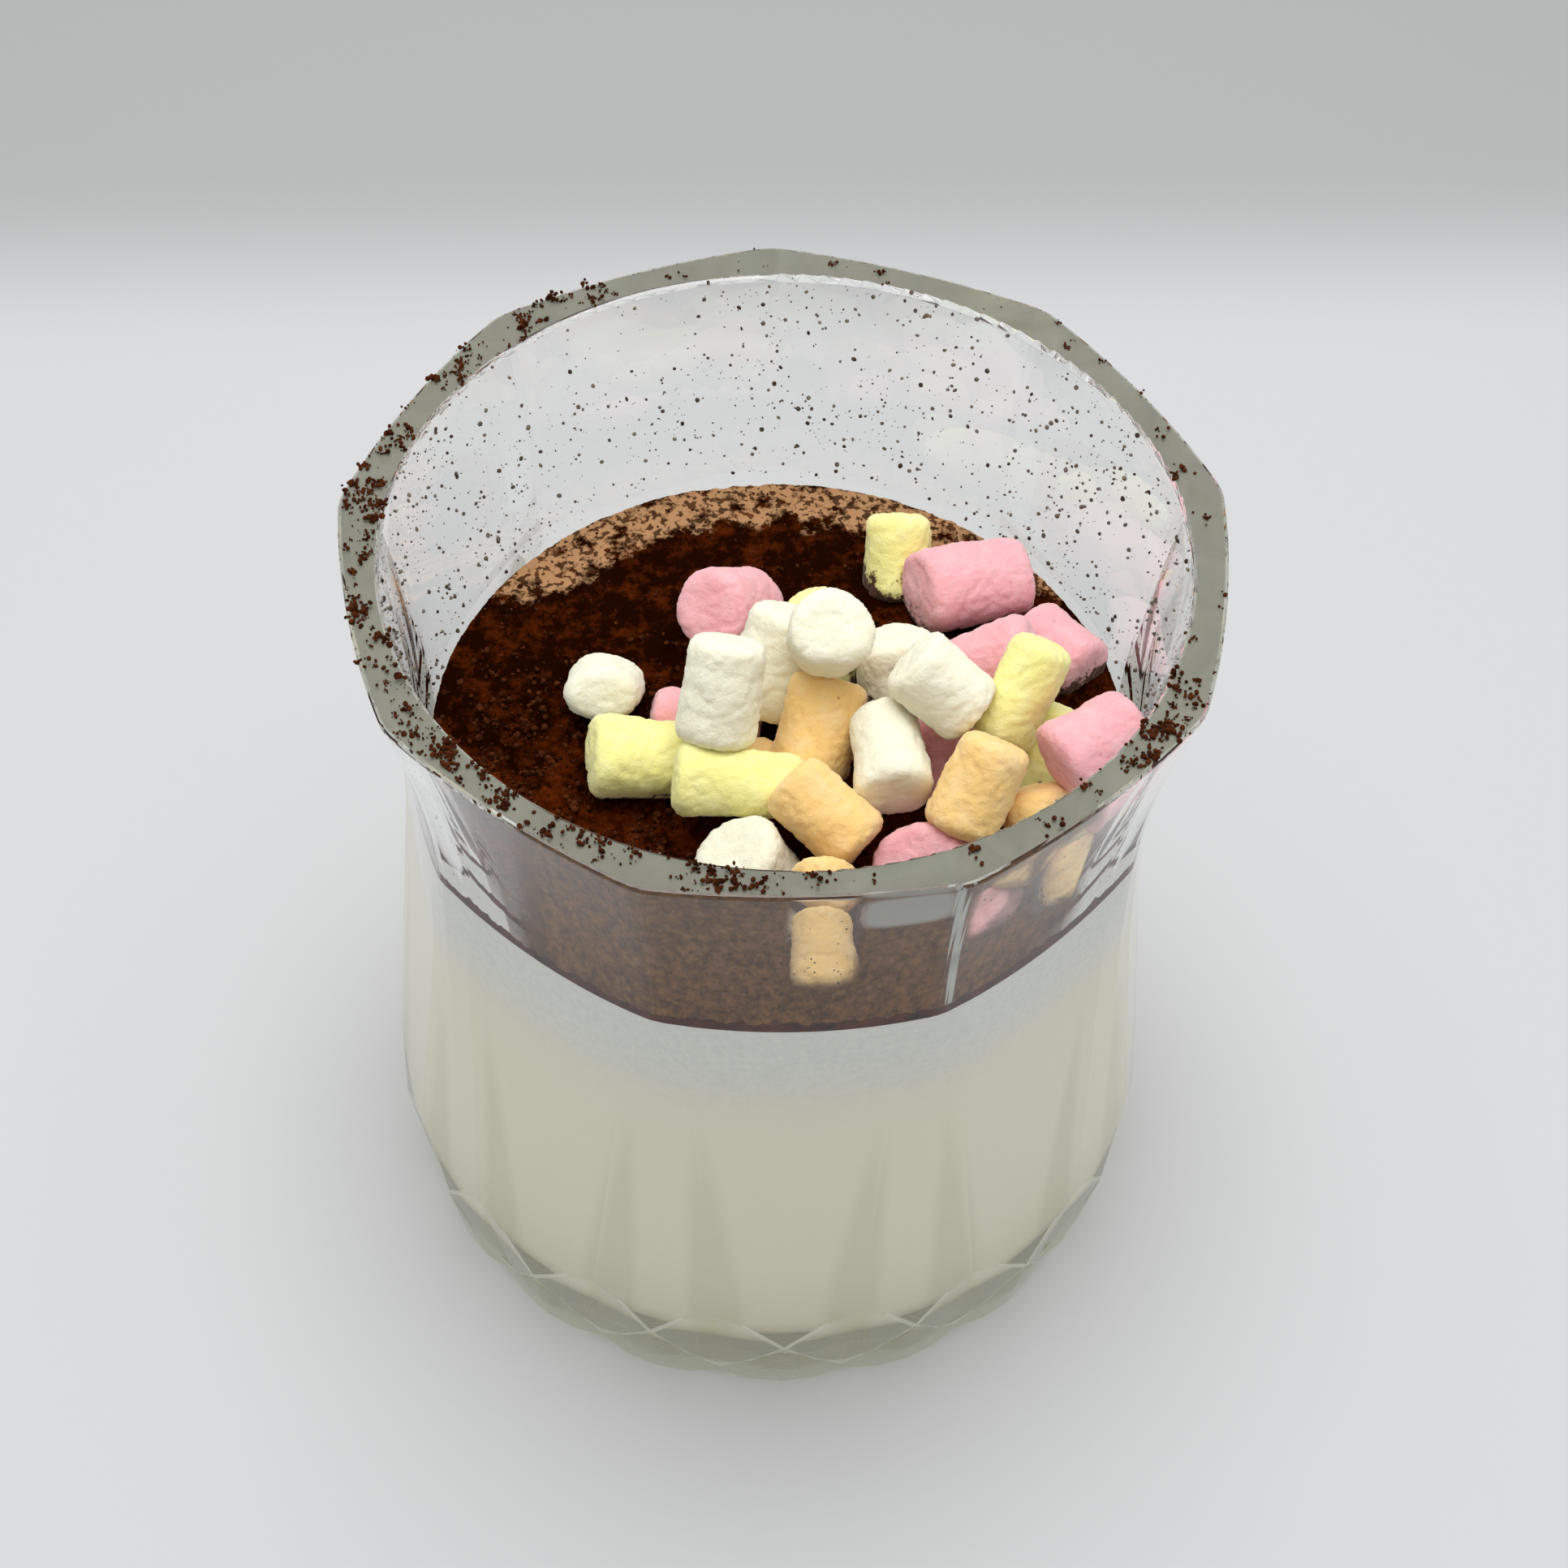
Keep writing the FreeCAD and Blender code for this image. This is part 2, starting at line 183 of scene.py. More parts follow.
for among_cuts, width, material in ((True, arris_width, arris_part), (False, soft_edge, -1)):
    bmesh.ops.bevel(bm, geom=list(sharp_edges(among_cuts)), offset=width, offset_type="OFFSET", segments=2,
                    profile=0.5, affect="EDGES", clamp_overlap=True, material=material)
bm.normal_update()
for face in bm.faces:
    middle = face.calc_center_median()
    inwards = -face.normal.dot(Vector((middle.x, middle.y, 0)).normalized())
    if face.normal.z > 0.97 and middle.z > rim_level - 0.0001:
        face.material_index = rim_part
    elif inwards > 0.8 and middle.z > drink_level:
        face.material_index = bore_part
    elif middle.z < foot_high and face.material_index != arris_part:
        face.material_index = foot_part
tumbler = finished(bm, "tumbler", clear_glass)
for material in (rim_glass, clear_glass, foot_glass, arris_glass):
    tumbler.data.materials.append(material)
tumbler.modifiers.new("even_shading", "WEIGHTED_NORMAL").keep_sharp = True
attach(tumbler, "root")
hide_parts("glass")


# ---- Milk and its foam ----
# Steamed milk fills the glass, with a finger of finely frothed milk resting on it. The froth blends
# into the milk, and both wet the glass, so their sides reach just into its wall.
wall_grip = 0.00012
milk_low, milk_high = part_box("milk")
foam_low, foam_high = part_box("foam")


def rooted_in_wall(bm, low, high, out):
    """Moves the sides and the floor of a filling outwards by a little, and leaves its top."""
    for vert in bm.verts:
        side = Vector((vert.co.x, vert.co.y, 0))
        if side.length > 0.001 and (vert.co.z < high - 1e-5 or side.length > 0.03):
            vert.co += side.normalized() * out
        if vert.co.z < low + 0.004:
            vert.co.z -= out


# The milk's colour turns to the froth's above and below the line between them. Faint wedges of painted
# shade lie on the milk where the flutes cut in the glass cross it: they open downwards, upright on one
# side and leaning on the other. The milk's underside has a painted glow, so it is never dark.
milk_colour = (0.77, 0.725, 0.565, 1)
foam_colour = (0.68, 0.68, 0.625, 1)
painted_flute_shade = (0.665, 0.635, 0.48, 1)
blend_low, blend_high = milk_high.z - 0.009, milk_high.z + 0.007
blend_wander = 0.007
flute_top, flute_foot = 0.050, 0.011
flute_upright, flute_opening = 15.5, 9.0

# A painted glow: the milk's underside gives off light of its own, as if lit from above through the milk.
soaked_light, underside_glow_strength = (0.55, 0.54, 0.30, 1), 0.36
side_turn = 20.0                 # degrees from the middle of a side to its corner
underside = -0.97                # how far down a face points

painted_glow, output = new_material("milk_lit_through")
glow_shader = add_node(painted_glow, "ShaderNodeBsdfPrincipled", Base_Color=milk_colour, Roughness=0.5,
                       Emission_Color=soaked_light, Emission_Strength=underside_glow_strength)
painted_glow.node_tree.links.new(glow_shader.outputs[0], output.inputs["Surface"])

warm_milk, output = new_material("warm_milk")
place = add_node(warm_milk, "ShaderNodeTexCoord")
spot = add_node(warm_milk, "ShaderNodeSeparateXYZ", _0=place.outputs["Object"])
drift = add_node(warm_milk, "ShaderNodeTexNoise", Vector=place.outputs["Object"], Scale=120.0, Detail=8.0,
                 Roughness=0.72)
wander = add_node(warm_milk, "ShaderNodeMath", {"operation": "MULTIPLY_ADD"}, _0=drift.outputs["Fac"],
                  _1=blend_wander, _2=spot.outputs["Z"])
froth_share = add_node(warm_milk, "ShaderNodeMapRange", {"interpolation_type": "SMOOTHERSTEP"},
                       _0=wander.outputs[0], _1=blend_low + blend_wander / 2,
                       _2=blend_high + blend_wander / 2)
# Painted flute shade: wedges by heading round the glass that open downwards from the flutes' top.
heading = add_node(warm_milk, "ShaderNodeMath", {"operation": "ARCTAN2"}, _0=spot.outputs["Y"],
                   _1=spot.outputs["X"])
from_side = add_node(warm_milk, "ShaderNodeMath", {"operation": "MULTIPLY_ADD"}, _0=heading.outputs[0],
                     _1=math.degrees(1), _2=90.0)
offset = add_node(warm_milk, "ShaderNodeMath", {"operation": "PINGPONG"}, _0=from_side.outputs[0],
                  _1=side_turn)
opening = add_node(warm_milk, "ShaderNodeMapRange", _0=spot.outputs["Z"], _1=flute_top, _2=flute_foot,
                   _3=0.0, _4=flute_opening)
leaning = add_node(warm_milk, "ShaderNodeMath", {"operation": "SUBTRACT"}, _0=flute_upright,
                   _1=opening.outputs[0])
past_leaning = add_node(warm_milk, "ShaderNodeMath", {"operation": "SUBTRACT"}, _0=offset.outputs[0],
                        _1=leaning.outputs[0])
inside_leaning = add_node(warm_milk, "ShaderNodeMapRange", {"interpolation_type": "SMOOTHSTEP"},
                          _0=past_leaning.outputs[0], _1=-1.2, _2=2.4)
inside_upright = add_node(warm_milk, "ShaderNodeMapRange", {"interpolation_type": "SMOOTHSTEP"},
                          _0=offset.outputs[0], _1=flute_upright + 1.5, _2=flute_upright - 1.6)
wedge = add_node(warm_milk, "ShaderNodeMath", {"operation": "MULTIPLY"}, _0=inside_leaning.outputs[0],
                 _1=inside_upright.outputs[0])
wedge_depth = add_node(warm_milk, "ShaderNodeMapRange", {"interpolation_type": "SMOOTHSTEP"},
                       _0=opening.outputs[0], _1=0.0, _2=flute_opening * 0.6, _3=0.0, _4=0.8)
wedge_share = add_node(warm_milk, "ShaderNodeMath", {"operation": "MULTIPLY"}, _0=wedge.outputs[0],
                       _1=wedge_depth.outputs[0])
shaded_milk = add_node(warm_milk, "ShaderNodeMix", {"data_type": "RGBA"}, _0=wedge_share.outputs[0],
                       _6=milk_colour, _7=painted_flute_shade)
bubbles = add_node(warm_milk, "ShaderNodeTexNoise", Vector=place.outputs["Object"], Scale=1500.0,
                   Detail=3.0)
froth_spot = add_node(warm_milk, "ShaderNodeMapRange", _0=bubbles.outputs["Fac"], _1=0.36, _2=0.64, _3=0.965,
                      _4=1.045)
frothy_foam = add_node(warm_milk, "ShaderNodeVectorMath", {"operation": "SCALE"}, _0=foam_colour[:3],
                       Scale=froth_spot.outputs[0])
milk_tone = add_node(warm_milk, "ShaderNodeMix", {"data_type": "RGBA"}, _0=froth_share.outputs[0],
                     _6=shaded_milk.outputs[2], _7=frothy_foam.outputs[0])
bubble_bump = add_node(warm_milk, "ShaderNodeBump", Height=bubbles.outputs["Fac"], Distance=0.00005)
milk_shader = add_node(warm_milk, "ShaderNodeBsdfPrincipled", Base_Color=milk_tone.outputs[2],
                       Roughness=0.5, Normal=bubble_bump.outputs[0])
warm_milk.node_tree.links.new(milk_shader.outputs[0], output.inputs["Surface"])

bm = node_copy("milk")
rooted_in_wall(bm, milk_low.z, milk_high.z, wall_grip)
bm.normal_update()
# Faces that point down get the painted glow.
for face in bm.faces:
    face.material_index = int(face.normal.z < underside)
milk = finished(bm, "milk_body", warm_milk)
milk.data.materials.append(painted_glow)
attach(milk, "root")
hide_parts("milk")

bm = node_copy("foam")
rooted_in_wall(bm, foam_low.z, foam_high.z, wall_grip + 0.00002)
foam = finished(bm, "foam_band", warm_milk)
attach(foam, "root")
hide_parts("foam")


# ---- Cocoa powder ----
# Sieved cocoa lies over the froth, dark where it has drunk up milk, loose and crumbly on the left,
# and thin at the back, where the froth shows through. Its edge clings to the glass.
cocoa_low, cocoa_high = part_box("cocoa")
cocoa_level = cocoa_high.z - 0.00045
cocoa_radius = cocoa_high.x + wall_grip
grid_steps = 280
crumb_place = Vector((-0.020, -0.006, 0))
soaked_dark, soaked_light_brown = (0.0105, 0.0021, 0.0005, 1), (0.105, 0.017, 0.0018, 1)
stained_froth = (0.42, 0.225, 0.108, 1)


def crumbly(x, y):
    """How loose the powder is at a place, from 0 to 1."""
    near = 1 - min((Vector((x, y, 0)) - crumb_place).length / 0.022, 1)
    front = min(max((-0.010 - y) / 0.012, 0), 1)
    return min(1, 0.25 + 1.1 * near + 0.5 * front)


def powder_height(x, y):
    """Height of the powder's surface over its level."""
    place = Vector((x, y, 0))
    mounds = 0.00030 * noise.noise(place * 110 + Vector((3, 7, 0)))
    crumbs = 0.00075 * noise.fractal(place * 700, 0.7, 2.1, 4)
    grains = 0.00016 * noise.noise(place * 2600)
    return mounds + (crumbs + grains) * crumbly(x, y)


cocoa_powder, output = new_material("cocoa_powder")
place = add_node(cocoa_powder, "ShaderNodeTexCoord")
spot = add_node(cocoa_powder, "ShaderNodeSeparateXYZ", _0=place.outputs["Object"])
soaked = add_node(cocoa_powder, "ShaderNodeTexNoise", Vector=place.outputs["Object"], Scale=420.0,
                  Detail=6.0, Roughness=0.75)
wet = add_node(cocoa_powder, "ShaderNodeMapRange", {"interpolation_type": "SMOOTHSTEP"},
               _0=spot.outputs["Y"], _1=-0.007, _2=0.005, _3=0.0, _4=0.10)
darkened = add_node(cocoa_powder, "ShaderNodeMath", {"operation": "SUBTRACT"}, _0=soaked.outputs["Fac"],
                    _1=wet.outputs[0])
powder_tone = add_node(cocoa_powder, "ShaderNodeValToRGB", _0=darkened.outputs[0])
powder_tone.color_ramp.elements[0].position = 0.38
powder_tone.color_ramp.elements[0].color = soaked_dark
powder_tone.color_ramp.elements[1].position = 0.66
powder_tone.color_ramp.elements[1].color = soaked_light_brown
reach = add_node(cocoa_powder, "ShaderNodeVectorMath", {"operation": "LENGTH"}, _0=place.outputs["Object"])
near_wall = add_node(cocoa_powder, "ShaderNodeMapRange", {"interpolation_type": "SMOOTHSTEP"},
                     _0=reach.outputs["Value"], _1=math.hypot(0.0205, cocoa_level),
                     _2=math.hypot(0.0315, cocoa_level))
at_back = add_node(cocoa_powder, "ShaderNodeMapRange", {"interpolation_type": "SMOOTHSTEP"},
                   _0=spot.outputs["Y"], _1=0.008, _2=0.022)
thin_at_back = add_node(cocoa_powder, "ShaderNodeMath", {"operation": "MULTIPLY"},
                        _0=near_wall.outputs[0], _1=at_back.outputs[0])
bubbles = add_node(cocoa_powder, "ShaderNodeTexNoise", Vector=place.outputs["Object"], Scale=360.0,
                   Detail=6.0, Roughness=0.72)
bare = add_node(cocoa_powder, "ShaderNodeMath", {"operation": "MULTIPLY"}, _0=bubbles.outputs["Fac"],
                _1=thin_at_back.outputs[0])
bare_there = add_node(cocoa_powder, "ShaderNodeMapRange", _0=bare.outputs[0], _1=0.40, _2=0.50)
fine_specks = add_node(cocoa_powder, "ShaderNodeTexNoise", Vector=place.outputs["Object"], Scale=1300.0,
                       Detail=2.0)
between_specks = add_node(cocoa_powder, "ShaderNodeMapRange", _0=fine_specks.outputs["Fac"], _1=0.52,
                          _2=0.57, _3=1.0, _4=0.15)
bare_share = add_node(cocoa_powder, "ShaderNodeMath", {"operation": "MULTIPLY"}, _0=bare_there.outputs[0],
                      _1=between_specks.outputs[0])
powder_colour = add_node(cocoa_powder, "ShaderNodeMix", {"data_type": "RGBA"}, _0=bare_share.outputs[0],
                         _6=powder_tone.outputs[0], _7=stained_froth)
fluff = add_node(cocoa_powder, "ShaderNodeTexNoise", Vector=place.outputs["Object"], Scale=2400.0,
                 Detail=4.0)
powder_bump = add_node(cocoa_powder, "ShaderNodeBump", Height=fluff.outputs["Fac"], Distance=0.0002)
powder_shader = add_node(cocoa_powder, "ShaderNodeBsdfPrincipled", Base_Color=powder_colour.outputs[2],
                         Roughness=0.95, Normal=powder_bump.outputs[0])
powder_shader.inputs["Specular IOR Level"].default_value = 0.0
cocoa_powder.node_tree.links.new(powder_shader.outputs[0], output.inputs["Surface"])

bm = bmesh.new()
bmesh.ops.create_grid(bm, x_segments=grid_steps, y_segments=grid_steps, size=1.0)
for vert in bm.verts:
    x, y = vert.co.x, vert.co.y
    vert.co.x = cocoa_radius * x * math.sqrt(1 - y * y / 2)
    vert.co.y = cocoa_radius * y * math.sqrt(1 - x * x / 2)
    vert.co.z = cocoa_level + powder_height(vert.co.x, vert.co.y)
rim_edges = [edge for edge in bm.edges if edge.is_boundary]
skirt = bmesh.ops.extrude_edge_only(bm, edges=rim_edges)
low_edges = [item for item in skirt["geom"] if isinstance(item, bmesh.types.BMEdge)]
for item in skirt["geom"]:
    if isinstance(item, bmesh.types.BMVert):
        item.co.z = cocoa_low.z
bmesh.ops.contextual_create(bm, geom=low_edges)
bmesh.ops.recalc_face_normals(bm, faces=bm.faces)
cocoa = finished(bm, "cocoa_layer", cocoa_powder)
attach(cocoa, "root")
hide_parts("cocoa")


# ---- Loose cocoa: crumbs on the drink, clumps on the rim, dust on the wall ----
# The sieve lets fall fine powder and small soft clumps. They lie loose on the drink's left, cling
# along the rim where the sieve was tapped, and stick to the steamed wall as specks.
batch_size = 250
front_line = -0.010              # the specks in front of it are smaller


def grain_material(name, dark, light):
    """Dry matt crumbs, from dark to light by chance."""
    material, output = new_material(name)
    place = add_node(material, "ShaderNodeTexCoord")
    roast = add_node(material, "ShaderNodeTexNoise", Vector=place.outputs["Object"], Scale=900.0, Detail=3.0)
    tone = add_node(material, "ShaderNodeValToRGB", _0=roast.outputs["Fac"])
    tone.color_ramp.elements[0].position = 0.38
    tone.color_ramp.elements[0].color = dark
    tone.color_ramp.elements[1].position = 0.62
    tone.color_ramp.elements[1].color = light
    shader = add_node(material, "ShaderNodeBsdfPrincipled", Base_Color=tone.outputs[0], Roughness=0.95)
    shader.inputs["Specular IOR Level"].default_value = 0.05
    material.node_tree.links.new(shader.outputs[0], output.inputs["Surface"])
    return material


cocoa_grain = grain_material("cocoa_grains", (0.028, 0.0065, 0.0020, 1), (0.085, 0.021, 0.0055, 1))
damp_speck = grain_material("damp_specks", (0.045, 0.030, 0.022, 1), (0.20, 0.165, 0.13, 1))


def add_grain(bm, place, radius, chance):
    """A crumb of twenty faces, out of round and turned by chance."""
    stretch = Matrix.Diagonal([chance.uniform(0.7, 1.3) for _ in range(3)] + [1])
    turn = Matrix.Rotation(chance.uniform(0, math.tau), 4, Vector([chance.uniform(-1, 1) for _ in range(3)]))
    bmesh.ops.create_icosphere(bm, subdivisions=1, radius=radius,
                               matrix=Matrix.Translation(place) @ turn @ stretch)


def grain_piece(name, grains, seed, material):
    """One piece of many loose grains, from their places and radii."""
    chance = random.Random(seed)
    mesh = bpy.data.meshes.new(name + "_batch")
    whole = bmesh.new()
    for start in range(0, len(grains), batch_size):
        batch = bmesh.new()
        for place, radius in grains[start:start + batch_size]:
            add_grain(batch, place, radius, chance)
        batch.to_mesh(mesh)
        batch.free()
        whole.from_mesh(mesh)
    bpy.data.meshes.remove(mesh)
    piece = finished(whole, name, material)
    piece.data.shade_flat()
    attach(piece, "root")


def places_on(piece, material_index, count, chance):
    """Points spread by area over a piece's faces of one material, with the normals there."""
    piece.data.calc_loop_triangles()
    triangles = [item for item in piece.data.loop_triangles if item.material_index == material_index]
    chosen = chance.choices(triangles, weights=[item.area for item in triangles], k=count)
    for triangle in chosen:
        first, second, third = (piece.data.vertices[index].co for index in triangle.vertices)
        a, b = chance.random(), chance.random()
        if a + b > 1:
            a, b = 1 - a, 1 - b
        yield first + (second - first) * a + (third - first) * b, triangle.normal.copy()


def heading_share(place, lobes):
    """How much lands at a place's heading round the glass, from headings, spreads and amounts."""
    heading = math.degrees(math.atan2(place.y, place.x))
    share = 0.0
    for centre, spread, amount in lobes:
        off = (heading - centre + 180) % 360 - 180
        share += amount * math.exp(-(off / spread) ** 2)
    return share


chance = random.Random(21)
rim_lobes = (                    # heading in degrees, spread, amount
    (180, 30, 1.0), (226, 16, 0.9), (258, 14, 0.7), (322, 16, 0.75), (130, 15, 0.8), (20, 90, 0.12),
)
rim_grains = []
for place, normal in places_on(tumbler, rim_part, 2400, chance):
    thick_there = 0.45 + 1.1 * noise.noise(place * 260)
    if chance.random() > heading_share(place, rim_lobes) * thick_there:
        continue
    size = 0.00008 + 0.00018 * chance.random() ** 2
    for _ in range(chance.choice((1, 1, 1, 2, 3, 5, 8, 12))):
        shift = Vector((chance.gauss(0, 1.6 * size), chance.gauss(0, 1.6 * size), abs(chance.gauss(0, size))))
        rim_grains.append((place + shift + normal * size * 0.3, size * chance.uniform(0.6, 1.3)))
grain_piece("rim_cocoa", rim_grains, 22, cocoa_grain)

chance = random.Random(31)
wall_grains = []
for place, normal in places_on(tumbler, bore_part, 11000, chance):
    size = (0.00006 + 0.00021 * chance.random() ** 3) * (1.0 if place.y > front_line else 0.55)
    if noise.noise(place * 90) > chance.uniform(-0.7, 1.6) and place.z > drink_level + 0.0008:
        wall_grains.append((place + normal * size * 0.4, size))
grain_piece("wall_specks", wall_grains, 32, damp_speck)

chance = random.Random(41)
loose_grains = []
for _ in range(16000):
    reach, heading = (cocoa_radius - 0.0006) * math.sqrt(chance.random()), chance.uniform(0, math.tau)
    x, y = reach * math.cos(heading), reach * math.sin(heading)
    clumped = 0.5 + 1.3 * noise.noise(Vector((x, y, 0)) * 330)
    if chance.random() < crumbly(x, y) ** 2 * clumped:
        size = 0.00010 + 0.00030 * chance.random() ** 2
        height = cocoa_level + powder_height(x, y) + size * 0.4
        loose_grains.append((Vector((x, y, height)), size))
grain_piece("loose_cocoa", loose_grains, 42, cocoa_grain)


# ---- Dusted band of the front wall ----
# Cocoa has stuck to the steamed inside of the front wall, between the drink and the rim, as a thin
# brown film that lets a little of the heap show, and is wiped away in places.
film_depth = 0.00004             # how far inside the wall, so that no air lies between
film_thickness = 0.00003
film_low, film_high = drink_level - 0.0008, rim_level - 0.0010
film_first, film_last = math.radians(222), math.radians(322)
film_rows, film_steps = 26, 150
wiped_places = (                 # across, height, half width, half height, what stays
    (0.0020, 0.0770, 0.0033, 0.0100, 0.16),
    (0.0168, 0.0775, 0.0027, 0.0062, 0.25),
    (0.0232, 0.0755, 0.0028, 0.0080, 0.15),
)
film_dark, film_light = (0.050, 0.018, 0.006, 1), (0.215, 0.094, 0.024, 1)
smear_colour = (0.46, 0.48, 0.44, 1)
smears = (                       # across, height, half width, half height, how strong
    (0.0092, 0.0815, 0.0042, 0.0030, 0.75),
    (0.0134, 0.0725, 0.0003, 0.0125, 1.0),
)

dust_film, output = new_material("cocoa_film")
place = add_node(dust_film, "ShaderNodeTexCoord")
spot = add_node(dust_film, "ShaderNodeSeparateXYZ", _0=place.outputs["Object"])
upright = add_node(dust_film, "ShaderNodeVectorMath", {"operation": "MULTIPLY"}, _0=place.outputs["Object"],
                   _1=(1.0, 1.0, 0.6))
mottle = add_node(dust_film, "ShaderNodeTexNoise", Vector=upright.outputs[0], Scale=1050.0, Detail=8.0,
                  Roughness=0.8)
film_tone = add_node(dust_film, "ShaderNodeValToRGB", _0=mottle.outputs["Fac"])
film_tone.color_ramp.elements[0].position = 0.40
film_tone.color_ramp.elements[0].color = film_dark
film_tone.color_ramp.elements[1].position = 0.61
film_tone.color_ramp.elements[1].color = film_light
wiped = add_node(dust_film, "ShaderNodeTexNoise", Vector=place.outputs["Object"], Scale=95.0, Detail=3.0,
                 Roughness=0.55)
to_right = add_node(dust_film, "ShaderNodeMapRange", {"interpolation_type": "SMOOTHSTEP"},
                    _0=spot.outputs["X"], _1=-0.004, _2=0.022, _3=0.34, _4=-0.02)
cover = add_node(dust_film, "ShaderNodeMath", {"operation": "ADD"}, _0=wiped.outputs["Fac"],
                 _1=to_right.outputs[0])
film_cover = add_node(dust_film, "ShaderNodeMapRange", {"interpolation_type": "SMOOTHSTEP"},
                      _0=cover.outputs[0], _1=0.36, _2=0.56, _3=0.25, _4=0.96)
left_end = add_node(dust_film, "ShaderNodeMapRange", {"interpolation_type": "SMOOTHSTEP"},
                    _0=spot.outputs["X"], _1=-0.0250, _2=-0.0215)
right_end = add_node(dust_film, "ShaderNodeMapRange", {"interpolation_type": "SMOOTHSTEP"},
                     _0=spot.outputs["X"], _1=0.0268, _2=0.0240)
ends = add_node(dust_film, "ShaderNodeMath", {"operation": "MULTIPLY"}, _0=left_end.outputs[0],
                _1=right_end.outputs[0])
film_alpha = add_node(dust_film, "ShaderNodeMath", {"operation": "MULTIPLY"}, _0=film_cover.outputs[0],
                      _1=ends.outputs[0])


def patch_share(across, height, half_width, half_height, inside, outside):
    """A value that is one thing within a ragged oblong patch of the film, and another round it."""
    sideways = add_node(dust_film, "ShaderNodeMapRange", {"clamp": False}, _0=spot.outputs["X"],
                        _1=across, _2=across + half_width)
    upwards = add_node(dust_film, "ShaderNodeMapRange", {"clamp": False}, _0=spot.outputs["Z"],
                       _1=height, _2=height + half_height)
    wide = add_node(dust_film, "ShaderNodeMath", {"operation": "POWER"}, _0=sideways.outputs[0], _1=4.0)
    tall = add_node(dust_film, "ShaderNodeMath", {"operation": "POWER"}, _0=upwards.outputs[0], _1=4.0)
    away = add_node(dust_film, "ShaderNodeMath", {"operation": "ADD"}, _0=wide.outputs[0], _1=tall.outputs[0])
    ragged = add_node(dust_film, "ShaderNodeMath", {"operation": "MULTIPLY_ADD"}, _0=mottle.outputs["Fac"],
                      _1=1.2, _2=away.outputs[0])
    return add_node(dust_film, "ShaderNodeMapRange", _0=ragged.outputs[0], _1=1.1, _2=2.2, _3=inside,
                    _4=outside)


for *oblong, kept in wiped_places:
    film_alpha = add_node(dust_film, "ShaderNodeMath", {"operation": "MULTIPLY"},
                          _0=film_alpha.outputs[0], _1=patch_share(*oblong, kept, 1.0).outputs[0])
film_colour = film_tone.outputs[0]
for *oblong, strength in smears:
    film_colour = add_node(dust_film, "ShaderNodeMix", {"data_type": "RGBA"},
                           _0=patch_share(*oblong, strength, 0.0).outputs[0], _6=film_colour,
                           _7=smear_colour).outputs[2]
film_shader = add_node(dust_film, "ShaderNodeBsdfPrincipled", Base_Color=film_colour, Roughness=0.9,
                       Alpha=film_alpha.outputs[0])
film_shader.inputs["Specular IOR Level"].default_value = 0.1
dust_film.node_tree.links.new(film_shader.outputs[0], output.inputs["Surface"])

# The film follows the wall's own shape, found by looking outwards from the axis of the glass.
wall_mesh = bmesh.new()
wall_mesh.from_mesh(tumbler.data)
wall_tree = BVHTree.FromBMesh(wall_mesh)
wall_mesh.free()
bm = bmesh.new()
row = []
for step in range(film_rows + 1):
    height = film_low + (film_high - film_low) * step / film_rows
    row.append(bm.verts.new((cocoa_radius * math.cos(film_first), cocoa_radius * math.sin(film_first),
                             height)))
line = [bm.edges.new(pair) for pair in zip(row, row[1:])]
bmesh.ops.spin(bm, geom=row + line, cent=(0, 0, 0), axis=(0, 0, 1), angle=film_last - film_first,
               steps=film_steps, use_merge=False)
for vert in bm.verts:
    outwards = Vector((vert.co.x, vert.co.y, 0)).normalized()
    wall_place = wall_tree.ray_cast(Vector((0, 0, vert.co.z)), outwards)[0]
    vert.co = wall_place + outwards * film_depth
bmesh.ops.recalc_face_normals(bm, faces=bm.faces)
bmesh.ops.solidify(bm, geom=bm.faces, thickness=film_thickness)
bmesh.ops.recalc_face_normals(bm, faces=bm.faces)
film = finished(bm, "wall_dust", dust_film)
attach(film, "root")


# ---- Marshmallows ----
# Small whipped-sugar marshmallows, cut from a soft rope and rolled in starch. Their skin is matt,
# finely wrinkled and a little dented, and each is squashed where it rests on the ones round it.
skin_voxel = 0.00033
marshmallow_colours = {
    "white": (0.91, 0.88, 0.68, 1),
    "pink": (0.875, 0.425, 0.455, 1),
    "yellow": (0.95, 0.89, 0.335, 1),
    "orange": (0.98, 0.645, 0.245, 1),
}


